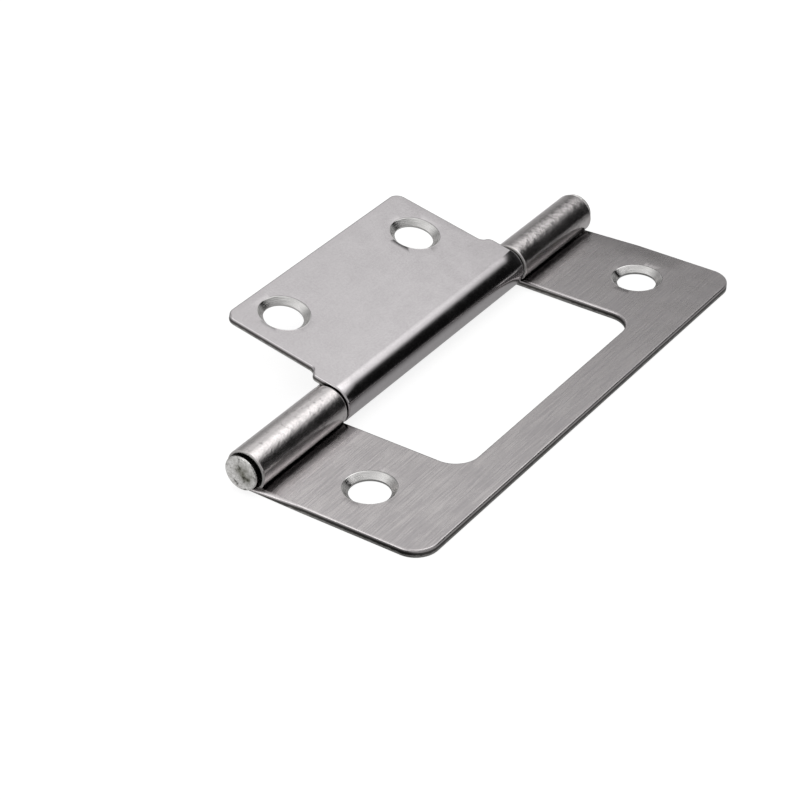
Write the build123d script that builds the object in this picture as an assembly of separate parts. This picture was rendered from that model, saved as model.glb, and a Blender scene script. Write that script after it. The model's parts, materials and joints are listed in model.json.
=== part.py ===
from build123d import *
from build123d.topology import SkipClean
from math import asin, degrees, radians, tan
import os

# Flush hinge in sheet steel, in millimetres and degrees.
# Each leaf is one sheet, rolled round the same pin. The inner leaf folds into the cut-out of the
# outer leaf, so that the closed hinge is one sheet thick between a door and its frame.
# The origin is on the back of the outer leaf, straight under the pin, midway along it.
# +X runs from the pin to the free edge of the outer leaf, +Y along the pin, +Z up from the back.

# Sheet and rolls
sheet_thickness = 1.1
bore_clearance = 0.03
seam_gap = 0.05

# Pin, with a head formed cold at each end
pin_diameter = 3.4
pin_head_overhang = 0.6
pin_head_height = 0.4
pin_head_play = 0.05
pin_head_round = 0.15

# Outer leaf, its widths measured from the pin's axis
outer_length = 76.0
outer_width = 25.8
outer_corner_radius = 3.2
cutout_length = 41.5
cutout_width = 20.0
cutout_corner_radius = 3.4

# Inner leaf, held clear of the cut-out by these gaps
side_gap = 1.6
end_gap = 1.6
knuckle_gap = 0.4
shoulder_length = 1.8
inner_corner_radius = 1.5

# Screw holes: two in each leaf, one of each pair further from the pin
hole_diameter = 5.3
countersink_diameter = 6.8
countersink_angle = 90.0
hole_stagger = 2.0
outer_hole_from_end = 7.8
outer_hole_from_edge = 12.0
inner_hole_from_end = 5.75
inner_hole_from_edge = 6.2

# Rounding that punching leaves on the sheet's edges: more on the countersunk face than on the other
face_edge_round = 0.35
other_edge_round = 0.25
largest_round_share = 0.4

# How far the inner leaf stands open, from flush in the cut-out
open_angle = 168.5

# Worked out from the sizes above
pin_radius = pin_diameter / 2
bore_radius = pin_radius + bore_clearance
knuckle_radius = bore_radius + sheet_thickness
roll_turn = 270 + degrees(asin((bore_radius - seam_gap) / knuckle_radius))
inner_length = cutout_length - 2 * side_gap
inner_width = cutout_width - end_gap
centre_knuckle_length = cutout_length - 2 * knuckle_gap
face_round = min(face_edge_round, largest_round_share * sheet_thickness)
other_round = min(other_edge_round, largest_round_share * sheet_thickness)
pin_axis = Axis((0, 0, knuckle_radius), (0, 1, 0))
overshoot = 1.0
on_plane = 0.001


def outer_outline():
    """Outline of the outer leaf's flat part: a plate with a cut-out that opens on the pin's side."""
    plate = Pos(outer_width / 2, 0) * Rectangle(outer_width, outer_length)
    free_corners = plate.vertices().group_by(Axis.X)[-1]
    plate = fillet(free_corners, outer_corner_radius)
    reach = cutout_width + overshoot
    cutout = Pos(cutout_width - reach / 2, 0) * Rectangle(reach, cutout_length)
    cutout = fillet(cutout.vertices().group_by(Axis.X)[-1], cutout_corner_radius)
    return plate - cutout


def inner_outline():
    """Outline of the inner leaf's flat part: its knuckle's length, then stepped in by an S curve."""
    wide = centre_knuckle_length / 2
    narrow = inner_length / 2
    shoulder_end = knuckle_radius + shoulder_length
    shoulder_middle = (knuckle_radius + shoulder_length / 2, (wide + narrow) / 2)
    with BuildSketch() as outline:
        with BuildLine():
            curve_in = TangentArc((knuckle_radius, wide), shoulder_middle, tangent=(1, 0))
            curve_out = TangentArc(curve_in @ 1, (shoulder_end, narrow), tangent=curve_in % 1)
            side = Line(curve_out @ 1, (inner_width, narrow))
            Line(side @ 1, (inner_width, 0))
            mirror(about=Plane.XZ)
            Line((knuckle_radius, -wide), (knuckle_radius, wide))
        make_face()
        fillet(outline.vertices().group_by(Axis.X)[-1], inner_corner_radius)
    return outline.sketch


def flat_sheet(outline, start, top_round, bottom_round):
    """The flat part of a leaf with its edges rounded, left square at its start, where the roll joins."""
    sheet = extrude(outline, sheet_thickness)
    for level, radius in ((-1, top_round), (0, bottom_round)):
        rim = sheet.faces().filter_by(Plane.XY).sort_by(Axis.Z)[level].edges()
        sheet = fillet([edge for edge in rim if edge.center().X > start + on_plane], radius)
    return sheet


def sheet_section(y_middle, length, bore_side, outside, ease):
    """The sheet's cross section straight under the pin, its corners eased by fillet or chamfer."""
    section = Rectangle(length, sheet_thickness)
    section = ease(section.vertices().group_by(Axis.Y)[-1], bore_side)
    section = ease(section.vertices().group_by(Axis.Y)[0], outside)
    return Plane.YZ * Pos(y_middle, sheet_thickness / 2) * section


def roll(y_middle, length, bore_side, outside):
    """The sheet rolled round the pin, from straight under it back to just above the leaf.

    Its edges are bevelled here, which is within 0.1 mm of the rounding on the flat."""
    return revolve(sheet_section(y_middle, length, bore_side, outside, chamfer), pin_axis, roll_turn)


def screw_hole():
    """Cutter for a countersunk hole whose mouth is at its origin and faces up."""
    cone_depth = (countersink_diameter - hole_diameter) / 2 / tan(radians(countersink_angle / 2))
    straight = Cylinder(hole_diameter / 2, 2 * (sheet_thickness + overshoot))
    cone = Pos(0, 0, -cone_depth / 2) * Cone(hole_diameter / 2, countersink_diameter / 2, cone_depth)
    return straight + cone


def hole_places(length, width, from_end, from_edge, far_hole_step):
    """Centres of a leaf's two holes: near end first, each moved half a step along X, opposite ways."""
    y = length / 2 - from_end
    x = width - from_edge
    return [(x - far_hole_step / 2, -y), (x + far_hole_step / 2, y)]


def outer_leaf():
    """Frame-shaped leaf with a knuckle at each end, countersunk on the pin's side."""
    leaf = flat_sheet(outer_outline(), 0, face_round, other_round)
    knuckle_length = (outer_length - cutout_length) / 2
    for end in (-1, 1):
        y_middle = end * (cutout_length + knuckle_length) / 2
        leaf += roll(y_middle, knuckle_length, face_round, other_round)
    places = hole_places(outer_length, outer_width, outer_hole_from_end, outer_hole_from_edge, hole_stagger)
    for x, y in places:
        leaf -= Pos(x, y, sheet_thickness) * screw_hole()
    return leaf


def inner_leaf():
    """Leaf with one long knuckle, made flush in the cut-out, then opened about the pin."""
    flat = flat_sheet(inner_outline(), knuckle_radius, other_round, face_round)
    places = hole_places(inner_length, inner_width, inner_hole_from_end, inner_hole_from_edge, -hole_stagger)
    for x, y in places:
        flat -= Pos(x, y, 0) * Rot(180, 0, 0) * screw_hole()
    lead = extrude(sheet_section(0, centre_knuckle_length, other_round, face_round, fillet), knuckle_radius)
    knuckle = lead + roll(0, centre_knuckle_length, other_round, face_round)
    # The door lies on the flat part only, so the edge where that part ends is kept
    with SkipClean():
        leaf = flat + knuckle
    return leaf.rotate(pin_axis, -open_angle)


def hinge_pin():
    """Round pin through all three knuckles, with a low flat head beyond each end knuckle."""
    shank_length = outer_length + 2 * pin_head_play
    along_pin = Plane(origin=pin_axis.position, z_dir=pin_axis.direction)
    pin = Cylinder(pin_radius, shank_length)
    for end in (-1, 1):
        head = Cylinder(pin_radius + pin_head_overhang, pin_head_height)
        rim = head.edges().group_by(Axis.Z)[-1 if end > 0 else 0]
        head = fillet(rim, pin_head_round)
        pin += Pos(0, 0, end * (shank_length + pin_head_height) / 2) * head
    return along_pin * pin


os.makedirs("parts", exist_ok=True)
pieces = {"outer_leaf": outer_leaf(), "inner_leaf": inner_leaf(), "hinge_pin": hinge_pin()}
for name, piece in pieces.items():
    export_step(piece, f"parts/{name}.step")
    print(name, f"{piece.volume:.1f} mm3")
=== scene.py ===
# %% [markdown]
# # A flush hinge in brushed steel
#
# A flush hinge is two flat leaves of sheet steel on one pin. The inner leaf folds into the cut-out of
# the outer leaf, so the closed hinge is as thin as one sheet. Here it lies open on a white table.
# This script dresses the plain CAD model of the hinge: it models each piece again with rounded edges
# and gives it the finish of the real metal.
#
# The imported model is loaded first. It fixes where everything is and how it moves, so new pieces are made
# in place and ride on its bodies.

import json
from math import asin, cos, pi, radians, sin

import bmesh
import bpy
from mathutils import Matrix, Vector, noise


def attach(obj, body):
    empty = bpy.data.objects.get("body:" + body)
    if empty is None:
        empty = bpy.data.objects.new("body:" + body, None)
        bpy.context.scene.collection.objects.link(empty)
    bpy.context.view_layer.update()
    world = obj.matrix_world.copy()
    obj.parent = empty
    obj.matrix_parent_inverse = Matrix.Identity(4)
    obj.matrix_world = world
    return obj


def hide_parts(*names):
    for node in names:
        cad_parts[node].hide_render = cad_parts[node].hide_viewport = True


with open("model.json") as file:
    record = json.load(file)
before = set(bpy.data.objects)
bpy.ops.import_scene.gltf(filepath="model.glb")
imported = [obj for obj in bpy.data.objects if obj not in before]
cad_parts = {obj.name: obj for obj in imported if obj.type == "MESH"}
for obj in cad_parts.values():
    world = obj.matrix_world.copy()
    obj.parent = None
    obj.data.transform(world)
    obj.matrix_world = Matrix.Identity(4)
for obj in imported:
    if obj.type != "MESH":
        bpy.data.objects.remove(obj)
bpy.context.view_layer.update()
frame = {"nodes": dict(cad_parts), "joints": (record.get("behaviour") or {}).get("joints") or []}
hinge_joint = frame["joints"][0]
print("nodes", sorted(frame["nodes"]), "joint", hinge_joint["name"])

# %% [markdown]
# ## The sheet and its roll
#
# The sizes are those of the CAD model, in millimetres. Meshes are modelled in millimetres too, because
# Blender's bevel and merge tools treat anything under about a tenth of a unit as nothing, and are
# brought down to metres when they are finished.
#
# The sheet is rolled round the pin, so a knuckle's outside is the bore and one thickness of sheet. The
# roll stops where its end comes down to just above the leaf, and the gap that it leaves is the seam.
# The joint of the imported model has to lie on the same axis, so its height is printed beside it.

# %% Sizes of the sheet and its roll
metres = 0.001
sheet = 1.1
bore_radius = 1.73
seam_gap = 0.05
knuckle_radius = bore_radius + sheet
roll_turn = radians(270) + asin((bore_radius - seam_gap) / knuckle_radius)
pin_axis_point = Vector((0, 0, knuckle_radius))
joint_height = hinge_joint["pos_m"][2] / metres
print("knuckle radius", knuckle_radius, "mm, joint at height", round(joint_height, 3), "mm")

# %% [markdown]
# ## The outline of a leaf
#
# The real leaf is stamped out of sheet with a punch. Its outline could be cut from a plate with
# booleans, but a few corner points with the bevel tool rounding them give the same arcs and leave a
# clean face to work on. The outer leaf is a frame: its cut-out is open on the pin's side.

# %% Outline of the outer leaf
outer_length = 76.0
outer_width = 25.8
outer_corner_radius = 3.2
cutout_length = 41.5
cutout_width = 20.0
cutout_corner_radius = 3.4
corner_segments = 14


def outline(points):
    mesh = bmesh.new()
    mesh.faces.new([mesh.verts.new((x, y, 0)) for x, y in points])
    return mesh


def mirrored(points):
    """The points on one side of the middle, then the same points on the other side, in order round."""
    return [(x, -y) for x, y in points] + [(x, y) for x, y in reversed(points)]


def round_corner(mesh, x, y, radius, segments):
    corner = min(mesh.verts, key=lambda v: (v.co - Vector((x, y, 0))).length)
    bmesh.ops.bevel(
        mesh, geom=[corner], offset=radius, offset_type="OFFSET",
        affect="VERTICES", segments=segments, profile=0.5, material=-1,
    )


outer_half = outer_length / 2
cutout_half = cutout_length / 2
outer_mesh = outline(mirrored([
    (cutout_width, cutout_half), (0, cutout_half), (0, outer_half), (outer_width, outer_half),
]))
for side in (-1, 1):
    round_corner(outer_mesh, outer_width, side * outer_half, outer_corner_radius, corner_segments)
    round_corner(outer_mesh, cutout_width, side * cutout_half, cutout_corner_radius, corner_segments)
print("outer outline", len(outer_mesh.verts), "points")

# %% [markdown]
# The inner leaf steps in from its knuckle by an S curve. Two corners, bevelled until their arcs all but
# meet halfway, make it: if they met exactly, two points would lie on top of each other.

# %% Outline of the inner leaf
inner_length = 38.3
inner_width = 18.4
inner_corner_radius = 1.5
centre_knuckle_length = 40.7
shoulder_length = 1.8
shoulder_segments = 8
share_of_arc = 0.98

knuckle_half = centre_knuckle_length / 2
inner_half = inner_length / 2
step_in = (knuckle_half - inner_half) / 2
half_shoulder = shoulder_length / 2
curve_reach = (half_shoulder**2 + step_in**2) / (2 * half_shoulder)
shoulder_in = knuckle_radius + curve_reach
shoulder_out = knuckle_radius + shoulder_length - curve_reach
inner_mesh = outline(mirrored([
    (0, knuckle_half), (shoulder_in, knuckle_half), (shoulder_out, inner_half), (inner_width, inner_half),
]))
for side in (-1, 1):
    round_corner(inner_mesh, shoulder_in, side * knuckle_half, share_of_arc * curve_reach, shoulder_segments)
    round_corner(inner_mesh, shoulder_out, side * inner_half, share_of_arc * curve_reach, shoulder_segments)
    round_corner(inner_mesh, inner_width, side * inner_half, inner_corner_radius, corner_segments)
print("inner outline", len(inner_mesh.verts), "points")

# %% [markdown]
# ## Screw holes
#
# The real holes are punched, two in each leaf, one of them 2 mm further from the pin so that the screws
# don't split the wood. Blender could cut them with a boolean. Here a square round each hole is cut free
# in the flat face and inset, and the inner square is pushed out to a circle: all faces round it are then
# quads that run out from the hole, which shade evenly.

# %% Cut the holes in the flat outline
hole_radius = 2.65
outer_holes = [(12.8, -30.2), (14.8, 30.2)]
inner_holes = [(13.2, -13.4), (11.2, 13.4)]
outer_cell_half = 4.4
inner_cell_half = 4.25
plug_inset = 0.5
circle_points = 64
first_corner = radians(225)
cut_tolerance = 1e-5
almost_a_turn = 2 * pi - 1e-4


def with_edges_and_points(faces):
    return faces + list({e for f in faces for e in f.edges}) + list({v for f in faces for v in f.verts})


def cut_along(mesh, point, normal, half=0):
    """Cuts all faces, or those on one half of the leaf: half is negative for the near one."""
    faces = [f for f in mesh.faces if f.calc_center_bounds().y * half >= 0]
    bmesh.ops.bisect_plane(
        mesh, geom=with_edges_and_points(faces), dist=cut_tolerance, plane_co=point, plane_no=normal)


def turn_from_corner(v, middle):
    return (v.co - middle).xy.angle_signed(Vector((-1, -1))) % almost_a_turn


def punch_hole(mesh, x, y, cell_half):
    for side in (-cell_half, cell_half):
        cut_along(mesh, (x + side, 0, 0), (1, 0, 0), half=y)
        cut_along(mesh, (0, y + side, 0), (0, 1, 0), half=y)
    middle = Vector((x, y, 0))
    cell = min(mesh.faces, key=lambda f: (f.calc_center_bounds() - middle).length)
    sides = list(cell.edges)
    bmesh.ops.delete(mesh, geom=[cell], context="FACES_ONLY")
    pieces_of_sides = bmesh.ops.subdivide_edges(mesh, edges=sides, cuts=circle_points // 4 - 1)["geom"]
    square = [part for part in pieces_of_sides if isinstance(part, bmesh.types.BMEdge)]
    plug = bmesh.ops.edgeloop_fill(mesh, edges=square)["faces"][0]
    bmesh.ops.inset_individual(mesh, faces=[plug], thickness=plug_inset, use_even_offset=True)
    for place, v in enumerate(sorted(plug.verts, key=lambda v: turn_from_corner(v, middle))):
        turn = first_corner + place * 2 * pi / circle_points
        v.co = middle + hole_radius * Vector((cos(turn), sin(turn), 0))
    bmesh.ops.delete(mesh, geom=[plug], context="FACES_ONLY")


for mesh in (outer_mesh, inner_mesh):
    cut_along(mesh, (0, 0, 0), (0, 1, 0))
for x, y in outer_holes:
    punch_hole(outer_mesh, x, y, outer_cell_half)
for x, y in inner_holes:
    punch_hole(inner_mesh, x, y, inner_cell_half)
print("faces with holes:", len(outer_mesh.faces), "outer,", len(inner_mesh.faces), "inner")

# %% [markdown]
# ## Thickness
#
# Extruding the flat face gives the sheet its 1.1 mm. A Solidify modifier would do it too, but the next
# steps need the walls as faces. The flat face is turned to look down first, as it becomes the underside.

# %% Give the outlines the sheet's thickness
def thicken(mesh):
    bmesh.ops.recalc_face_normals(mesh, faces=mesh.faces[:])
    if sum(f.normal.z * f.calc_area() for f in mesh.faces) > 0:
        bmesh.ops.reverse_faces(mesh, faces=mesh.faces[:])
    raised = bmesh.ops.extrude_face_region(mesh, geom=mesh.faces[:])["geom"]
    top = [v for v in raised if isinstance(v, bmesh.types.BMVert)]
    bmesh.ops.translate(mesh, verts=top, vec=(0, 0, sheet))
    bmesh.ops.recalc_face_normals(mesh, faces=mesh.faces[:])


for mesh in (outer_mesh, inner_mesh):
    thicken(mesh)
    print("sheet of", len(mesh.faces), "faces,", round(mesh.calc_volume()), "mm3")

# %% [markdown]
# ## Countersinks
#
# A countersink lets the screw's head lie flush. The hole's wall is one band of faces from top to bottom.
# Its mouth is widened, and a cut three quarters of a millimetre down leaves the upper part a cone and
# lets the lower part go back to the hole's own radius.
#
# The outer leaf's screws go in from the sheet's top. The inner leaf is made flush in the cut-out, where
# its countersinks are underneath.

# %% Turn the holes' mouths into cones
countersink_radius = 3.4
ring_margin = 0.1
wall_reach = 4.0
flat_normal = 0.9
same_place = 1e-4
leaves = [(outer_mesh, outer_holes, sheet), (inner_mesh, inner_holes, 0)]


def hole_ring(mesh, x, y, level, reach):
    return [v for v in mesh.verts
            if abs(v.co.z - level) < same_place and (v.co.xy - Vector((x, y))).length < reach]


def hole_wall(mesh, x, y):
    return [f for f in mesh.faces if abs(f.normal.z) < flat_normal
            and (f.calc_center_median().xy - Vector((x, y))).length < wall_reach]


def countersink(mesh, x, y, mouth_level):
    """Widens the hole towards its mouth, which is at the top or the bottom of the sheet."""
    depth = countersink_radius - hole_radius
    land = mouth_level - depth if mouth_level else depth
    about = Matrix.Translation((-x, -y, 0))
    grow = countersink_radius / hole_radius
    mouth = hole_ring(mesh, x, y, mouth_level, hole_radius + ring_margin)
    bmesh.ops.scale(mesh, verts=mouth, vec=(grow, grow, 1), space=about)
    bmesh.ops.bisect_plane(
        mesh, geom=with_edges_and_points(hole_wall(mesh, x, y)), dist=cut_tolerance,
        plane_co=(0, 0, land), plane_no=(0, 0, 1))
    ring = hole_ring(mesh, x, y, land, countersink_radius)
    shrink = hole_radius / (ring[0].co.xy - Vector((x, y))).length
    bmesh.ops.scale(mesh, verts=ring, vec=(shrink, shrink, 1), space=about)


for mesh, holes, mouth_level in leaves:
    for x, y in holes:
        countersink(mesh, x, y, mouth_level)
    print("countersunk sheet:", len(mesh.faces), "faces,", round(mesh.calc_volume()), "mm3")

# %% [markdown]
# ## Rounded rims
#
# Punching pulls the edge of one side down and tumbling rounds the rest, which is what catches the light
# along every rim in the photo. A bevel with five segments gives that rounding. It leaves out the rim
# where the sheet runs on into its roll. The holes' rims are only broken, by a tenth of a millimetre or
# so, because a countersink has a crisp edge.
#
# The back of the outer leaf lies on the table, and its rim there shows as a thin dark line, so it is
# rounded much less.

# %% Bevel the rims
face_round = 0.35
back_round = 0.25
flat_back_round = 0.06
rim_segments = 5
mouth_ease = 0.1
land_ease = 0.16
hole_rim_segments = 3
hole_margin = 0.05
least_rim_angle = radians(30)


def near_hole(point, holes):
    return any((point.xy - Vector(hole)).length < countersink_radius + hole_margin for hole in holes)


def rim_edges(mesh, level, holes, of_holes):
    """Edges between the flat side at this level and the walls, of the holes or of the outline."""
    rims = []
    for e in mesh.edges:
        ends = [v.co for v in e.verts]
        on_level = all(abs(p.z - level) <= same_place for p in ends)
        at_roll = all(abs(p.x) < same_place for p in ends)
        is_rim = on_level and not at_roll and e.calc_face_angle(0) > least_rim_angle
        if is_rim and near_hole(ends[0], holes) == of_holes:
            rims.append(e)
    return rims


def ease_rims(mesh, level, radius, segments, holes, of_holes):
    bmesh.ops.bevel(
        mesh, geom=rim_edges(mesh, level, holes, of_holes), offset=radius, offset_type="OFFSET",
        affect="EDGES", segments=segments, profile=0.5, material=-1, clamp_overlap=True,
    )


for (mesh, holes, mouth_level), back in zip(leaves, (flat_back_round, back_round)):
    for level in (0, sheet):
        at_mouth = level == mouth_level
        ease_rims(mesh, level, face_round if at_mouth else back, rim_segments, holes, False)
        ease_rims(mesh, level, mouth_ease if at_mouth else land_ease, hole_rim_segments, holes, True)
    print("rounded sheet:", len(mesh.faces), "faces,", round(mesh.calc_volume()), "mm3")

# %% [markdown]
# The outer leaf's back becomes the outside of its knuckles, and there the rim is well rounded again. The
# roll will carry on from the sheet's end face, so the points in that face's lower corners are moved out
# to the wider rounding before it is rolled.

# %% Round the rim more where the roll starts
def ease_roll_start(mesh):
    reach = flat_back_round + same_place
    moved = 0
    for corner in [Vector((0, side * half, 0)) for side in (-1, 1) for half in (outer_half, cutout_half)]:
        for v in mesh.verts:
            from_corner = v.co - corner
            if abs(v.co.x) < same_place and max(abs(from_corner.y), from_corner.z) < reach:
                v.co = corner + from_corner * (back_round / flat_back_round)
                moved += 1
    return moved


print("moved", ease_roll_start(outer_mesh), "points")

# %% [markdown]
# ## Marks for the materials
#
# A punched edge looks different from the brushed face. A material can't tell where it is in a sheet that
# is rolled up, so each point remembers how deep in the sheet it lies, from 0 on the back to 1 on the
# countersunk side. The points of the countersinks, which a drill turned, are marked too. A vertex
# attribute carries such marks, and stays with the points when they are rolled and moved.

# %% Remember the depth in the sheet
def mark_depths(mesh, holes, mouth_level):
    depth = mesh.verts.layers.float.new("depth")
    turned = mesh.verts.layers.float.new("turned")
    for v in mesh.verts:
        up = v.co.z / sheet
        v[depth] = up if mouth_level else 1 - up
        v[turned] = 1.0 if near_hole(v.co, holes) else 0.0


for mesh, holes, mouth_level in leaves:
    mark_depths(mesh, holes, mouth_level)
    print("marked", len(mesh.verts), "points")

# %% [markdown]
# ## Rolling the knuckles
#
# A press rolls the end of the sheet round a mandrel, which leaves a seam where the end nearly touches
# the leaf. Spin does the same: it carries the end face of the sheet round the pin's axis, and stops
# just above the leaf. A hollow cylinder would be quicker, but would have no seam.
#
# The inner leaf was made flush in the cut-out, so it is then opened about the pin, as in the photo.

# %% Roll the ends of the sheet round the pin's axis
roll_steps = 96
open_angle = 168.5


def spin_round_pin(mesh, geom, angle, steps, use_merge):
    bmesh.ops.spin(
        mesh, geom=geom, cent=pin_axis_point, axis=(0, 1, 0), dvec=(0, 0, 0), angle=angle,
        space=Matrix.Identity(4), steps=steps, use_merge=use_merge,
        use_normal_flip=False, use_duplicate=False,
    )


def roll_up(mesh):
    ends = [f for f in mesh.faces if all(abs(v.co.x) < same_place for v in f.verts)]
    spin_round_pin(mesh, with_edges_and_points(ends), roll_turn, roll_steps, use_merge=False)
    bmesh.ops.recalc_face_normals(mesh, faces=mesh.faces[:])


for mesh in (outer_mesh, inner_mesh):
    roll_up(mesh)
    print("rolled:", len(mesh.faces), "faces,", round(mesh.calc_volume()), "mm3")

opening = Matrix.Rotation(-radians(open_angle), 3, "Y")
bmesh.ops.rotate(inner_mesh, verts=inner_mesh.verts[:], cent=pin_axis_point, matrix=opening)

# %% [markdown]
# The end knuckles' bores open out towards their mouths, to take the swell under the pin's heads. Seen
# from the front this is the black crescent beside each head. The rounded edge of the bore is drawn out
# into that funnel: each of its points is moved along a straight line from the bore to the mouth. The
# sheet's own end, low on the right, stays as it is, because the flat leaf starts there.

# %% Open out the ends of the bore
funnel_depth = 0.7
funnel_radius = 2.55
funnel_margin = 0.01
sheet_end_below = 1.2


def open_out(mesh):
    rim_start = outer_half - face_round
    moved = 0
    for v in mesh.verts:
        from_axis = Vector((v.co.x, 0, v.co.z - knuckle_radius))
        in_rim = bore_radius - funnel_margin < from_axis.length < bore_radius + face_round + funnel_margin
        at_sheet_end = from_axis.x > 0 > from_axis.z + sheet_end_below
        if abs(v.co.y) < rim_start - funnel_margin or not in_rim or at_sheet_end:
            continue
        outwards = (abs(v.co.y) - rim_start) / face_round
        side = 1 if v.co.y > 0 else -1
        radius = bore_radius + (funnel_radius - bore_radius) * outwards
        along = side * (outer_half - funnel_depth * (1 - outwards))
        v.co = pin_axis_point + from_axis.normalized() * radius + Vector((0, along, 0))
        moved += 1
    return moved


print("opened out", open_out(outer_mesh), "points")

# %% [markdown]
# ## The pin
#
# The pin is a rod whose ends are hammered over, so that it can't slide out. Half of its outline, spun a
# full turn, gives rod and heads in one closed piece. The outline goes out over the head's face in rings,
# round its rim, and down the swell to the rod.

# %% Spin the pin
pin_radius = 1.7
head_radius = 2.36
head_outside = outer_half + 0.85
head_thickness = 0.22
head_ease = 0.16
head_ease_steps = 4
head_dip = 0.07
swell_length = 0.6
face_rings = [0.0, 0.3, 0.6, 0.9, 1.2, 1.5, 1.75, 1.95]
pin_steps = 72
merge_distance = 1e-3


def pin_profile():
    """Half of the pin's outline from the middle of one head to the middle of the other: (y, radius)."""
    points = [(head_outside - head_dip, r) for r in face_rings]
    for step in range(head_ease_steps + 1):
        turn = radians(90) * step / head_ease_steps
        points.append((head_outside - head_ease * (1 - cos(turn)), head_radius - head_ease * (1 - sin(turn))))
    head_inside = head_outside - head_thickness
    points += [(head_inside, head_radius), (head_inside - swell_length, pin_radius)]
    return [(-y, r) for y, r in points] + [(y, r) for y, r in reversed(points)]


pin_mesh = bmesh.new()
half_outline = [pin_mesh.verts.new((0, y, knuckle_radius + r)) for y, r in pin_profile()]
edges = [pin_mesh.edges.new(pair) for pair in zip(half_outline, half_outline[1:])]
spin_round_pin(pin_mesh, half_outline + edges, radians(360), pin_steps, use_merge=True)
bmesh.ops.remove_doubles(pin_mesh, verts=pin_mesh.verts[:], dist=merge_distance)
bmesh.ops.recalc_face_normals(pin_mesh, faces=pin_mesh.faces[:])
print("pin", len(pin_mesh.faces), "faces,", round(pin_mesh.calc_volume()), "mm3")

# %% [markdown]
# Hammering leaves the heads' faces uneven and a little off the pin's middle. Noise moves their points in
# and out by a few hundredths of a millimetre, in wide dents and small ones. Dents that were only in the
# material would leave the heads' outline too perfect.

# %% Hammer the heads
dent = 0.035
dents_per_mm = 1.4
small_dent = 0.5 * dent
small_dents_per_mm = 3 * dents_per_mm
head_off_centre = Vector((-0.1, 0, 0.1))
head_margin = 0.01

face_level = head_outside - head_dip
struck_points = [v for v in pin_mesh.verts if abs(abs(v.co.y) - face_level) < same_place]
for v in struck_points:
    wide, narrow = noise.noise(v.co * dents_per_mm), noise.noise(v.co * small_dents_per_mm)
    v.co.y += dent * wide + small_dent * narrow
head_points = [v for v in pin_mesh.verts if abs(v.co.y) > head_outside - head_thickness - head_margin]
bmesh.ops.translate(pin_mesh, vec=head_off_centre, verts=head_points)
print("dented", len(struck_points), "points, moved", len(head_points))

# %% [markdown]
# ## Into the scene
#
# Each mesh is brought down to metres and becomes one object that rides on its CAD body. It replaces the
# CAD piece, which stays behind the scenes for collisions. Edges that turn by more than 35 degrees stay
# sharp, and a Weighted Normal modifier keeps flat faces flat beside their rounded rims.

# %% Make the objects
sharp_angle = radians(35)
fully_by_area = 100


def add_object(name, data):
    added = bpy.data.objects.new(name, data)
    bpy.context.scene.collection.objects.link(added)
    return added


def add_piece(mesh, name, node, body):
    bmesh.ops.scale(mesh, verts=mesh.verts[:], vec=(metres, metres, metres))
    loose = sum(1 for e in mesh.edges if not e.is_manifold)
    data = bpy.data.meshes.new(name)
    mesh.to_mesh(data)
    volume = mesh.calc_volume() / metres**3
    print(name, len(data.polygons), "faces,", loose, "open edges,", round(volume), "mm3")
    mesh.free()
    data.shade_smooth()
    data.set_sharp_from_angle(angle=sharp_angle)
    piece = add_object(name, data)
    even = piece.modifiers.new("even shading", "WEIGHTED_NORMAL")
    even.keep_sharp = True
    even.weight = fully_by_area
    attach(piece, body)
    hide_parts(node)
    return piece


outer_leaf = add_piece(outer_mesh, "outer_leaf_sheet", "outer_leaf", "outer")
inner_leaf = add_piece(inner_mesh, "inner_leaf_sheet", "inner_leaf", "inner")
pin = add_piece(pin_mesh, "headed_pin", "hinge_pin", "outer")

# %% [markdown]
# ## Nodes and groups
#
# The finishes and the studio are all made with nodes, so helpers come first: they add a node, link it up
# and start a node group. An effect that several finishes use is such a group, built once, with its own
# inputs. The first is the grain of a brushed sheet.

# %% Start a node group
number_socket, place_socket = "NodeSocketFloat", "NodeSocketVector"


def new_node(tree, kind, **settings):
    node = tree.nodes.new(kind)
    for name, value in settings.items():
        setattr(node, name, value)
    return node


def feed(tree, socket, value):
    """Sets a socket to a number or colour, or links it to another node's output."""
    if isinstance(value, bpy.types.NodeSocket):
        tree.links.new(value, socket)
    elif value is not None:
        socket.default_value = value


def new_group(name, inputs, outputs):
    """A shader node group. Inputs are (name, kind, value), outputs are names of numbers."""
    tree = bpy.data.node_groups.new(name, "ShaderNodeTree")
    for label, kind, value in inputs:
        socket = tree.interface.new_socket(label, in_out="INPUT", socket_type=kind)
        if value is not None:
            socket.default_value = value
    for label in outputs:
        tree.interface.new_socket(label, in_out="OUTPUT", socket_type=number_socket)
    return tree, new_node(tree, "NodeGroupInput").outputs, new_node(tree, "NodeGroupOutput").inputs


grain, given, result = new_group("grain", [
    ("Position", place_socket, None), ("Lines per mm", number_socket, 4.0),
    ("Line length", number_socket, 12.0),
], ["Fine", "Broad"])
print("group", grain.name, "has", len(grain.interface.items_tree), "sockets")

# %% [markdown]
# ## Grain
#
# An abrasive belt draws fine lines along the sheet. A picture of brushed steel would smear in the roll.
# Noise that is stretched along the pin needs no picture, and gives the lines in two widths.

# %% Stretch the grain along the pin
broad_scale = 0.17


def calculate(tree, operation, *values, clamp=False):
    node = new_node(tree, "ShaderNodeMath", operation=operation, use_clamp=clamp)
    for socket, value in zip(node.inputs, values):
        feed(tree, socket, value)
    return node.outputs[0]


def stretch(tree, place, scale):
    node = new_node(tree, "ShaderNodeVectorMath", operation="MULTIPLY")
    feed(tree, node.inputs[0], place)
    feed(tree, node.inputs[1], scale)
    return node.outputs[0]


def noise_of(tree, place, scale, detail, roughness=0.5):
    node = new_node(tree, "ShaderNodeTexNoise")
    for name, value in (("Vector", place), ("Scale", scale), ("Detail", detail), ("Roughness", roughness)):
        feed(tree, node.inputs[name], value)
    return node.outputs["Fac"]


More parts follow.
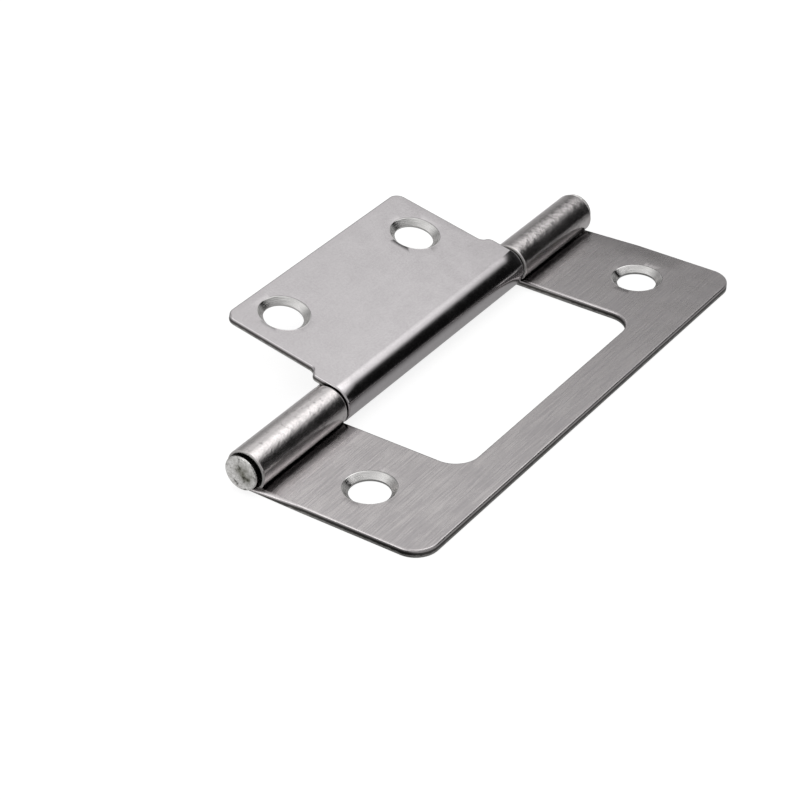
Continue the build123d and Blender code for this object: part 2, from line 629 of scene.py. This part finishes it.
across = calculate(grain, "MULTIPLY", given["Lines per mm"], 1 / metres)
along = calculate(grain, "DIVIDE", across, given["Line length"])
scales = new_node(grain, "ShaderNodeCombineXYZ")
for axis, value in (("X", across), ("Y", along), ("Z", across)):
    feed(grain, scales.inputs[axis], value)
drawn = stretch(grain, given["Position"], scales.outputs[0])
feed(grain, result["Fine"], noise_of(grain, drawn, scale=1.0, detail=3.0, roughness=0.65))
feed(grain, result["Broad"], noise_of(grain, drawn, scale=broad_scale, detail=2.0))
print(grain.name, len(grain.nodes), "nodes")

# %% [markdown]
# ## Clouding
#
# Handling and pickling leave faint patches on steel, a little darker than the rest, with specks in them
# and a mottle finer than both. Each is noise of its own size, and a band stretches the part between two
# levels, so that it reads as patches and not as fog.

# %% Clouding
mottles_per_metre = 3500


def band(tree, value, low, high):
    """Runs smoothly from 0 to 1 as value goes from low to high."""
    node = new_node(tree, "ShaderNodeMapRange", interpolation_type="SMOOTHSTEP")
    for socket, setting in zip(node.inputs, (value, low, high, 0.0, 1.0)):
        feed(tree, socket, setting)
    return node.outputs[0]


clouding, given, result = new_group("clouding", [
    ("Position", place_socket, None), ("Patch mm", number_socket, 5.0), ("Speck mm", number_socket, 0.5),
], ["Patches", "Specks", "Mottle"])
patch_scale = calculate(clouding, "DIVIDE", 1 / metres, given["Patch mm"])
speck_scale = calculate(clouding, "DIVIDE", 1 / metres, given["Speck mm"])
patches = noise_of(clouding, given["Position"], patch_scale, detail=3.0, roughness=0.55)
specks = noise_of(clouding, given["Position"], speck_scale, detail=2.0, roughness=0.6)
mottle = noise_of(clouding, given["Position"], mottles_per_metre, detail=3.0, roughness=0.7)
feed(clouding, result["Patches"], band(clouding, patches, low=0.3, high=0.7))
feed(clouding, result["Specks"], band(clouding, specks, low=0.55, high=0.75))
feed(clouding, result["Mottle"], band(clouding, mottle, low=0.35, high=0.65))
print(clouding.name, len(clouding.nodes), "nodes")

# %% [markdown]
# ## Punched edge
#
# A punch shears the upper part of the sheet's edge smooth. Further down the steel breaks, which leaves a
# rough zone with a ragged upper limit. The smooth zone's colour is painted dark, a painted reflection of
# the dark room, and the broken zone's colour is painted lighter, a painted reflection of the lit table
# below it. Both zones could be modelled, but they are a few hundredths of a millimetre deep. The depth
# that was remembered in the mesh says which part is which. The rounded rims above and below them look
# like the faces that they run into.
#
# A drill leaves fine rings in a countersink. They are noise that runs along the depth alone.

# %% Punched edge
broken_up_to = 0.2
raggedness = 0.3
rags_per_metre = 1800
rings_per_sheet = 22


def product(tree, first, *others):
    for value in others:
        first = calculate(tree, "MULTIPLY", first, value)
    return first


def one_minus(tree, value):
    return calculate(tree, "SUBTRACT", 1, value)


punched, given, result = new_group("punched_edge", [
    ("Position", place_socket, None), ("Depth", number_socket, 1.0), ("Turned", number_socket, 0.0),
], ["Edge", "Broken", "Rings"])
above_back = band(punched, given["Depth"], low=0.02, high=0.08)
below_face = one_minus(punched, band(punched, given["Depth"], low=0.62, high=0.7))
feed(punched, result["Edge"], product(punched, above_back, below_face, one_minus(punched, given["Turned"])))
ragged = noise_of(punched, given["Position"], rags_per_metre, detail=3.0)
limit = calculate(punched, "MULTIPLY_ADD", ragged, raggedness, broken_up_to)
below_limit = calculate(punched, "SUBTRACT", limit, given["Depth"])
feed(punched, result["Broken"], band(punched, below_limit, low=-0.05, high=0.12))
ring_place = new_node(punched, "ShaderNodeCombineXYZ")
feed(punched, ring_place.inputs["X"], product(punched, given["Depth"], rings_per_sheet))
rings = noise_of(punched, ring_place.outputs[0], scale=1.0, detail=3.0, roughness=0.7)
feed(punched, result["Rings"], product(punched, rings, given["Turned"]))
print(punched.name, len(punched.nodes), "nodes")

# %% [markdown]
# ## Painted shade and dirt in corners
#
# The corner between the plate and its knuckles shows as a thin dark line: it is painted here, as the
# shade that falls there together with the dirt that gathers where no cloth reaches. The mouths of the
# bore beside the pin's heads lie in the heads' shadow and are painted black as shade. Blender can find
# corners by itself with an Ambient Occlusion node, but that darkens every corner alike. Here both places
# are said outright, by where they are on the hinge.

# %% Painted shade and dirt in corners
crevice_start, crevice_end = 0.0029, 0.0037
crevice_height = 0.0002
crevice_from_x = 0.001
mouth_unshaded, mouth_shaded = funnel_radius + 0.02, funnel_radius - 0.08
mouth_start, mouth_full = outer_half - funnel_depth - 0.3, outer_half - funnel_depth


def split(tree, place):
    """The X, Y and Z of a position or direction."""
    node = new_node(tree, "ShaderNodeSeparateXYZ")
    feed(tree, node.inputs[0], place)
    return node.outputs


def distance_of(tree, a, b):
    """How far away a point is that lies a to one side and b up or down."""
    return calculate(tree, "SQRT", calculate(tree, "MULTIPLY_ADD", a, a, product(tree, b, b)))


corner_dirt_and_shade, given, result = new_group("corner_dirt_and_shade", [("Position", place_socket, None)], ["Crevice", "Mouth"])
place = split(corner_dirt_and_shade, given["Position"])
# painted shade and dirt: the plate is darkened in the corner beside its knuckles
near_seam = band(corner_dirt_and_shade, place["X"], low=crevice_end, high=crevice_start)
off_face = calculate(corner_dirt_and_shade, "ABSOLUTE", calculate(corner_dirt_and_shade, "SUBTRACT", place["Z"], sheet * metres))
on_face = calculate(corner_dirt_and_shade, "LESS_THAN", off_face, crevice_height)
right_of_pin = calculate(corner_dirt_and_shade, "GREATER_THAN", place["X"], crevice_from_x)
feed(corner_dirt_and_shade, result["Crevice"], product(corner_dirt_and_shade, near_seam, on_face, right_of_pin))
# painted shade: the bore's mouths beside the pin's heads are painted black
up = calculate(corner_dirt_and_shade, "SUBTRACT", place["Z"], knuckle_radius * metres)
near_axis = band(
    corner_dirt_and_shade, distance_of(corner_dirt_and_shade, up, place["X"]), low=mouth_unshaded * metres, high=mouth_shaded * metres)
at_end = band(
    corner_dirt_and_shade, calculate(corner_dirt_and_shade, "ABSOLUTE", place["Y"]), low=mouth_start * metres, high=mouth_full * metres)
feed(corner_dirt_and_shade, result["Mouth"], product(corner_dirt_and_shade, near_axis, at_end))
print(corner_dirt_and_shade.name, len(corner_dirt_and_shade.nodes), "nodes")

# %% [markdown]
# ## Three bare steels
#
# All three pieces are bare steel, so each material starts as a plain metal whose patterns run on the
# object's own coordinates. Those stay with the steel when the hinge opens.
#
# The outer leaf is brushed on the countersunk side, and its knuckles show the smoother back of the
# sheet. The inner leaf is satin: tumbled, with faint clouds and hardly a line. The pin's ends are
# hammered.

# %% Bare metal
def steel(name, piece):
    """Gives the piece a metal material: its node tree, its shader, and the position for patterns."""
    material = bpy.data.materials.new(name)
    material.use_nodes = True
    shader = material.node_tree.nodes["Principled BSDF"]
    shader.inputs["Metallic"].default_value = 1
    piece.data.materials.append(material)
    place = new_node(material.node_tree, "ShaderNodeTexCoord").outputs["Object"]
    return material.node_tree, shader, place


steels = {name: steel(name, piece) for name, piece in (
    ("brushed_steel", outer_leaf), ("satin_steel", inner_leaf), ("hammered_steel", pin))}
print("bare metals", list(steels))

# %% [markdown]
# Both leaves show the same kinds of marks, so one set of masks serves both: where the face is and where
# the back is, the grain's lines, and what the groups put out. A mask is a number from 0 to 1 for each
# point of the surface. How strong each mark is comes from the leaf's own look.
#
# In a look, bare and shade are the steel's colour between marks and under them. The other numbers are
# strengths, roughnesses, and the depth of the back's dimples in metres.

# %% Masks and looks of the leaves
fine_share = 0.85
leaf_looks = {
    "brushed_steel": dict(
        bare=(0.75, 0.715, 0.71, 1), shade=(0.53, 0.505, 0.515, 1), face_rough=0.24, back_rough=0.17,
        lined=0.7, patched=0.14, mottled=0.2, specked=0.3, dimple_depth=0.000035),
    "satin_steel": dict(
        bare=(0.64, 0.615, 0.625, 1), shade=(0.48, 0.455, 0.465, 1), face_rough=0.1, back_rough=0.2,
        lined=0.1, patched=0.12, mottled=0.25, specked=0.2, dimple_depth=0.00003),
}


def use_group(tree, group, **values):
    """A group's outputs. Underscores here are spaces in its inputs' names."""
    node = new_node(tree, "ShaderNodeGroup", node_tree=group)
    for name, value in values.items():
        feed(tree, node.inputs[name.replace("_", " ")], value)
    return node.outputs


def stored(tree, name):
    return new_node(tree, "ShaderNodeAttribute", attribute_name=name).outputs["Fac"]


def leaf_masks(tree, place):
    depth, turned = stored(tree, "depth"), stored(tree, "turned")
    lines = use_group(tree, grain, Position=place, Lines_per_mm=7.0, Line_length=36.0)
    clouds = use_group(tree, clouding, Position=place, Patch_mm=3.0, Speck_mm=0.8)
    edge = use_group(tree, punched, Position=place, Depth=depth, Turned=turned)
    corner_marks = use_group(tree, corner_dirt_and_shade, Position=place)
    faced = band(tree, depth, low=0.3, high=0.9)
    back = one_minus(tree, faced)
    broad = product(tree, lines["Broad"], 1 - fine_share)
    drawn = calculate(tree, "MULTIPLY_ADD", lines["Fine"], fine_share, broad)
    return {
        "line": product(tree, band(tree, drawn, low=0.35, high=0.65), faced),
        "faced": faced, "back": back, "turned": turned, "patches": clouds["Patches"],
        "mottle": clouds["Mottle"], "specks": product(tree, clouds["Specks"], back),
        "edge": edge["Edge"], "broken": edge["Broken"], "rings": edge["Rings"],
        "crevice": corner_marks["Crevice"], "mouth": corner_marks["Mouth"],
    }


def finish_leaves(socket, effect):
    for name, look in leaf_looks.items():
        tree, shader, place = steels[name]
        feed(tree, shader.inputs[socket], effect(tree, place, masks[name], look))
        print(name, "has its", socket, "after", len(tree.nodes), "nodes")


masks = {name: leaf_masks(steels[name][0], steels[name][2]) for name in leaf_looks}
print("masks of a leaf:", list(masks["brushed_steel"]))

# %% [markdown]
# The colour starts with the steel under its grain and clouds. Specks, the cut edge with its painted
# reflections, the countersinks, the painted shade and dirt in the crevice and the painted shade in the
# bore's mouths are then laid over it one after another. The countersinks are an even grey, because the
# drill cut grain and clouds away. A metal's colour is how much it mirrors, so a darker grey is a dimmer
# mirror.

# %% Colour of the leaves
speck_color = (0.12, 0.12, 0.12, 1)
# painted reflections: the smooth part of the cut edge is painted dark, the broken part lighter
burnished_dark_painted_reflection = (0.12, 0.115, 0.11, 1)
broken_light_painted_reflection = (0.5, 0.49, 0.48, 1)
turned_color = (0.68, 0.67, 0.66, 1)
# painted shade: the crevice's colour stands for shade and dirt, the mouths' near black for the heads' shadow
crevice_dirt_and_shade_color = (0.18, 0.17, 0.17, 1)
mouth_painted_shade_color = (0.015, 0.014, 0.012, 1)


def mixed(tree, data_type, ending, share, first, second):
    """A Mix node. Several of its sockets have the same name, so they are found by identifier."""
    node = new_node(tree, "ShaderNodeMix", data_type=data_type)
    sockets = {s.identifier: s for s in node.inputs}
    for name, value in (("Factor_Float", share), (f"A_{ending}", first), (f"B_{ending}", second)):
        feed(tree, sockets[name], value)
    return next(s for s in node.outputs if s.identifier == f"Result_{ending}")


def mix_colors(tree, share, first, second):
    return mixed(tree, "RGBA", "Color", share, first, second)


def leaf_color(tree, place, seen, look):
    marks = product(tree, seen["line"], look["lined"])
    marks = calculate(tree, "MULTIPLY_ADD", seen["patches"], look["patched"], marks)
    marks = calculate(tree, "MULTIPLY_ADD", seen["mottle"], look["mottled"], marks)
    surface = mix_colors(tree, marks, look["bare"], look["shade"])
    surface = mix_colors(tree, product(tree, seen["specks"], look["specked"]), surface, speck_color)
    # painted reflections on the cut edge: dark above, lighter where it breaks
    cut = mix_colors(tree, seen["broken"], burnished_dark_painted_reflection, broken_light_painted_reflection)
    surface = mix_colors(tree, seen["edge"], surface, cut)
    # painted shade (with dirt in the crevice) is laid over the crevice and the bore's mouths
    for mask, laid_over in (("turned", turned_color), ("crevice", crevice_dirt_and_shade_color), ("mouth", mouth_painted_shade_color)):
        surface = mix_colors(tree, seen[mask], surface, laid_over)
    return surface


finish_leaves("Base Color", leaf_color)

# %% [markdown]
# Roughness is what tells a brushed face from a tumbled one: the rougher, the wider a reflection spreads.
# Lines and patches add a little, the burnished part of the cut edge is smooth and the broken part
# coarse, the countersinks nearly mirror, and the crevice, where shade and dirt are painted, is smooth too.

# %% Roughness of the leaves
patch_rough = 0.04
line_rough = 0.05
burnished_rough = 0.22
broken_rough = 0.6
turned_rough = 0.06
crevice_dirt_and_shade_rough = 0.08


def mix_numbers(tree, share, first, second):
    return mixed(tree, "FLOAT", "Float", share, first, second)


def leaf_roughness(tree, place, seen, look):
    rough = mix_numbers(tree, seen["faced"], look["back_rough"], look["face_rough"])
    rough = calculate(tree, "MULTIPLY_ADD", seen["patches"], patch_rough, rough)
    rough = calculate(tree, "MULTIPLY_ADD", seen["line"], line_rough * look["lined"], rough)
    cut = mix_numbers(tree, seen["broken"], burnished_rough, broken_rough)
    for mask, laid_over in (("edge", cut), ("turned", turned_rough), ("crevice", crevice_dirt_and_shade_rough)):
        rough = mix_numbers(tree, seen[mask], rough, laid_over)
    return rough


finish_leaves("Roughness", leaf_roughness)

# %% [markdown]
# Three kinds of relief are too fine for the mesh, so Bump nodes raise them, one on top of another: the
# lines on the face, the dimples that rolling leaves on the back, and the drill's rings. Each Distance is
# the real depth in metres, a few thousandths to hundredths of a millimetre.

# %% Relief of the leaves
line_depth = 0.000003
ring_depth = 0.000035
dimples_per_metre = 1300
dimple_stretch = (1, 0.6, 1)


def raise_up(tree, height, distance, below=None):
    """A Bump node: height in parts of distance, on top of an earlier bump if there is one."""
    node = new_node(tree, "ShaderNodeBump")
    node.inputs["Strength"].default_value = 1
    node.inputs["Distance"].default_value = distance
    feed(tree, node.inputs["Height"], height)
    feed(tree, node.inputs["Normal"], below)
    return node.outputs[0]


def leaf_relief(tree, place, seen, look):
    relief = raise_up(tree, seen["line"], line_depth * look["lined"])
    stretched = stretch(tree, place, dimple_stretch)
    dimples = noise_of(tree, stretched, dimples_per_metre, detail=3.0, roughness=0.6)
    relief = raise_up(tree, product(tree, dimples, seen["back"]), look["dimple_depth"], relief)
    return raise_up(tree, seen["rings"], ring_depth, relief)


finish_leaves("Normal", leaf_relief)

# %% [markdown]
# ## The hammered pin
#
# Only the pin's heads show. The hammer has beaten them to bright steel, mottled grey, and dark scale is
# gathered where its blow fell, a little up and to one side of the middle. The distance from that place
# makes the mask, and clouds break it up, so it isn't a disc. A coarse bump stands for the hammer's
# texture.

# %% Hammered steel for the pin
blow_x, blow_z = 0.0004, 0.0031
blow_edge, blow_middle = 0.0019, 0.0005
scale_least, scale_by_patch = 0.25, 0.5
scale_away, scale_by_blow = 0.3, 1.6
mottle_share = 0.4
pin_rough, speck_rough = 0.26, 0.2
dents_per_metre = 1700
dent_depth = 0.00009
beaten_color = (0.9, 0.89, 0.88, 1)
scale_color = (0.14, 0.14, 0.11, 1)
mottle_color = (0.22, 0.21, 0.19, 1)
pin_speck_color = (0.06, 0.06, 0.05, 1)

tree, shader, place = steels["hammered_steel"]
clouds = use_group(tree, clouding, Position=place, Patch_mm=1.8, Speck_mm=0.9)
position = split(tree, place)
from_blow = distance_of(tree, calculate(tree, "SUBTRACT", position["X"], blow_x),
                        calculate(tree, "SUBTRACT", position["Z"], blow_z))
struck = band(tree, from_blow, low=blow_edge, high=blow_middle)
scaled = product(
    tree, calculate(tree, "MULTIPLY_ADD", clouds["Patches"], scale_by_patch, scale_least),
    calculate(tree, "MULTIPLY_ADD", struck, scale_by_blow, scale_away))
worn = mix_colors(tree, scaled, beaten_color, scale_color)
worn = mix_colors(tree, product(tree, clouds["Mottle"], mottle_share), worn, mottle_color)
feed(tree, shader.inputs["Base Color"], mix_colors(tree, clouds["Specks"], worn, pin_speck_color))
rough = calculate(tree, "MULTIPLY_ADD", clouds["Specks"], speck_rough, pin_rough)
feed(tree, shader.inputs["Roughness"], rough)
dents = noise_of(tree, place, dents_per_metre, detail=4.0, roughness=0.6)
feed(tree, shader.inputs["Normal"], raise_up(tree, dents, dent_depth))
print("materials", [m.name for m in bpy.data.materials if m.users])

# %% [markdown]
# ## The table
#
# The hinge lies on a white table that fills the picture. It is one big square that rides on none of
# the hinge's bodies, so it isn't part of the hinge.

# %% Lay the table
table_reach = 1500.0

table_mesh = bmesh.new()
bmesh.ops.create_grid(table_mesh, x_segments=1, y_segments=1, size=table_reach * metres)
table_data = bpy.data.meshes.new("white_table")
table_mesh.to_mesh(table_data)
table_mesh.free()
table = add_object("white_table", table_data)
print("table", 2 * table_reach * metres, "m wide")

# %% [markdown]
# Most of the white that the camera sees is the table's own, and the rest is light on its surface, which
# keeps the soft shadow under the hinge: a lamp strong enough to bleach the table would bleach the steel
# as well.
#
# The steel mirrors the table too. Its knuckles show that the real table is bright by the pin and falls
# off to the right, where no light reaches it, so for mirrored rays that light and shade are painted on
# the table, as a curve over the distance from the pin. A Color Ramp makes such a curve: between its
# points it runs straight.

# %% White of the table
own_brightness = 0.83
paper = 0.32
mirrored_own = 0.52
mirrored_paper = 0.8
white = (1, 1, 1, 1)


def curve(tree, value, points):
    """A Color Ramp as a graph: value runs along it, and each point is (value, grey level)."""
    low, high = points[0][0], points[-1][0]
    share = calculate(tree, "DIVIDE", calculate(tree, "SUBTRACT", value, low), high - low, clamp=True)
    ramp = new_node(tree, "ShaderNodeValToRGB")
    stops = ramp.color_ramp.elements
    while len(stops) < len(points):
        stops.new(0.5)
    for stop, (place, level) in zip(stops, points):
        stop.position = (place - low) / (high - low)
        stop.color = (level, level, level, 1)
    tree.links.new(share, ramp.inputs[0])
    return ramp.outputs["Color"]


table_finish = bpy.data.materials.new("white_table")
table_finish.use_nodes = True
tree = table_finish.node_tree
table_shader = tree.nodes["Principled BSDF"]
table_shader.inputs["Roughness"].default_value = 1
table_shader.inputs["Specular IOR Level"].default_value = 0
table_shader.inputs["Emission Color"].default_value = white
rays = new_node(tree, "ShaderNodeLightPath").outputs
mirror_ray = calculate(tree, "ADD", rays["Is Glossy Ray"], rays["Is Transmission Ray"], clamp=True)
from_pin = split(tree, new_node(tree, "ShaderNodeTexCoord").outputs["Object"])
# painted light and shade: what mirrored rays find on the table, bright by the pin, darker to the right
lit = curve(tree, calculate(tree, "DIVIDE", from_pin["X"], metres), [
    (-60, 0.34), (-10, 0.48), (-2, 0.7), (2.5, 0.43), (6, 0.37), (10, 0.25),
    (16, 0.15), (24, 0.06), (26, 0.3), (32, 0.25), (38, 0.05), (60, 0.02),
])
lit_paper = product(tree, lit, mirrored_paper)
feed(tree, table_shader.inputs["Base Color"], mix_numbers(tree, mirror_ray, paper, lit_paper))
mirrored_light = product(tree, lit, product(tree, mirror_ray, mirrored_own))
feed(tree, table_shader.inputs["Emission Strength"], calculate(
    tree, "MULTIPLY_ADD", rays["Is Camera Ray"], own_brightness, mirrored_light))
table_data.materials.append(table_finish)
print("table's finish", len(tree.nodes), "nodes")

# %% [markdown]
# ## The studio
#
# Steel has hardly any colour of its own: it shows the room. Lamps could build that room, but the world
# can simply hold it: its brightness is worked out from the direction in which a ray leaves. x, y and z
# are that direction's parts to the right, to the back of the table and up.
#
# The main light is a wide soft one, high over the back of the table, which makes the bright band along
# each knuckle in the photo. Its height is measured from its lower edge, which bends down towards both
# sides. It is brightest near the middle, where it has a core, and its dimmer left end is what the flat
# leaves show. It fades towards the front, because plates seen from behind would mirror it in full and
# burn out to white.

# %% The soft light
middle_x = 0.08
edge_bend = 0.53

world = bpy.data.worlds.new("studio")
world.use_nodes = True
bpy.context.scene.world = world
studio = world.node_tree
studio.nodes.clear()
ray = split(studio, new_node(studio, "ShaderNodeTexCoord").outputs["Generated"])
ray_x, ray_y, ray_z = (ray[axis] for axis in "XYZ")

off_middle = calculate(studio, "SUBTRACT", ray_x, middle_x)
height = calculate(studio, "MULTIPLY_ADD", product(studio, off_middle, off_middle), edge_bend, ray_z)
soft_edge = curve(studio, height, [
    (0.6, 0.0), (0.625, 0.03), (0.645, 0.18), (0.665, 0.47),
    (0.68, 0.74), (0.7, 0.95), (0.72, 1.0), (1.0, 1.0),
])
sideways = curve(studio, ray_x, [
    (-0.9, 0.5), (-0.55, 0.7), (-0.47, 0.85), (-0.42, 0.72), (-0.23, 0.93), (-0.17, 1.05),
    (-0.03, 1.2), (0.24, 1.15), (0.33, 0.95), (0.42, 0.65), (0.52, 0.45), (0.62, 0.35),
])
core = product(
    studio, curve(studio, height, [(0.725, 0.0), (0.755, 0.4), (1.2, 0.4)]),
    curve(studio, ray_x, [(-0.25, 0.0), (-0.1, 0.6), (0.0, 1.0), (0.6, 1.0)]))
fade = curve(studio, ray_y, [(-0.4, 0.15), (0.0, 0.35), (0.25, 0.6), (0.42, 1.0), (1.0, 1.0)])
soft_light = product(studio, fade, calculate(studio, "MULTIPLY_ADD", soft_edge, sideways, core))
print("soft light:", len(studio.nodes), "nodes")

# %% [markdown]
# From the photo's side, flat leaves and knuckles mirror only a slice of the room towards the back. Other
# directions can be lit for other views: a dim ceiling for a look from above, a glow low behind the
# camera, which also lifts the countersinks and the heads, and a small panel high in front, for plates
# seen from behind. Where they overlap, the brightest of the three counts.

# %% Light from above and in front
def brightest(tree, first, *others):
    for value in others:
        first = calculate(tree, "MAXIMUM", first, value)
    return first


ceiling = curve(studio, ray_z, [(0.79, 0.0), (0.86, 0.35), (1.0, 0.35)])
behind_camera = product(
    studio, curve(studio, ray_z, [(-0.1, 0.4), (0.15, 1.0)]),
    curve(studio, ray_x, [(-0.5, 1.4), (-0.35, 1.3), (0.0, 0.7), (0.6, 0.55)]),
    curve(studio, ray_y, [(-0.9, 1.15), (-0.7, 1.1), (-0.4, 0.4), (-0.1, 0.3), (0.15, 0.0)]))
front_panel = product(
    studio, curve(studio, ray_z, [(0.68, 0.0), (0.76, 1.0), (0.88, 1.0), (0.95, 0.0)]),
    curve(studio, ray_y, [(-0.55, 0.0), (-0.4, 1.0), (-0.15, 1.0), (0.0, 0.0)]))
lights = calculate(studio, "ADD", soft_light, brightest(studio, ceiling, behind_camera, front_panel))
print("lights:", len(studio.nodes), "nodes")

# %% [markdown]
# The room has pale walls too. The left one shows as a faint glow low on the knuckles' left side. Those at
# the sides and the far end keep the steel from looking black when the hinge is seen from low down.

# %% Walls
left_wall = curve(studio, ray_x, [
    (-1.0, 0.1), (-0.85, 0.24), (-0.74, 0.35), (-0.65, 0.35), (-0.55, 0.22),
    (-0.45, 0.08), (-0.35, 0.02), (0.0, 0.005), (0.9, 0.005),
])
side_walls = curve(studio, calculate(studio, "ABSOLUTE", ray_x), [(0.8, 0.0), (0.92, 0.45), (1.0, 0.55)])
far_wall = curve(studio, ray_y, [(0.82, 0.0), (0.94, 0.45), (1.0, 0.55)])
brightness = brightest(studio, lights, left_wall, side_walls, far_wall)
print("walls:", len(studio.nodes), "nodes")

# %% [markdown]
# The steel mirrors this room, but the camera itself has to see plain white beyond the table. Light Path
# tells the two kinds of ray apart, and a Mix Shader switches between two backgrounds.

# %% Close the room
room = new_node(studio, "ShaderNodeBackground")
plain_white = new_node(studio, "ShaderNodeBackground")
feed(studio, room.inputs["Color"], brightness)
feed(studio, plain_white.inputs["Color"], white)
seen_world = new_node(studio, "ShaderNodeMixShader")
feed(studio, seen_world.inputs[0], new_node(studio, "ShaderNodeLightPath").outputs["Is Camera Ray"])
feed(studio, seen_world.inputs[1], room.outputs[0])
feed(studio, seen_world.inputs[2], plain_white.outputs[0])
feed(studio, new_node(studio, "ShaderNodeOutputWorld").inputs["Surface"], seen_world.outputs[0])
print("studio:", len(studio.nodes), "nodes")

# %% [markdown]
# ## The camera
#
# The camera's place was worked out from the photo: it looks down at the near end of the pin through a
# long lens, from a third of a metre away. The hinge isn't in the middle of the picture, so the camera
# slides a little sideways and down without turning.

# %% Camera
azimuth = radians(34.59)
elevation = radians(34.0)
distance = 328.84
slide_right = -2.969
slide_up = -6.570
lens_mm = 112.74
sensor_mm = 36

forward = Vector((-sin(azimuth) * cos(elevation), cos(azimuth) * cos(elevation), -sin(elevation)))
right = Vector((cos(azimuth), sin(azimuth), 0))
up = right.cross(forward)
lens = bpy.data.cameras.new("camera")
lens.lens = lens_mm
lens.sensor_width = sensor_mm
camera = add_object("camera", lens)
camera.location = (-forward * distance + right * slide_right + up * slide_up) * metres
camera.rotation_euler = forward.to_track_quat("-Z", "Y").to_euler()
bpy.context.scene.camera = camera
bpy.context.scene.view_settings.view_transform = "Standard"
print("camera", round(distance), "mm from the pin")
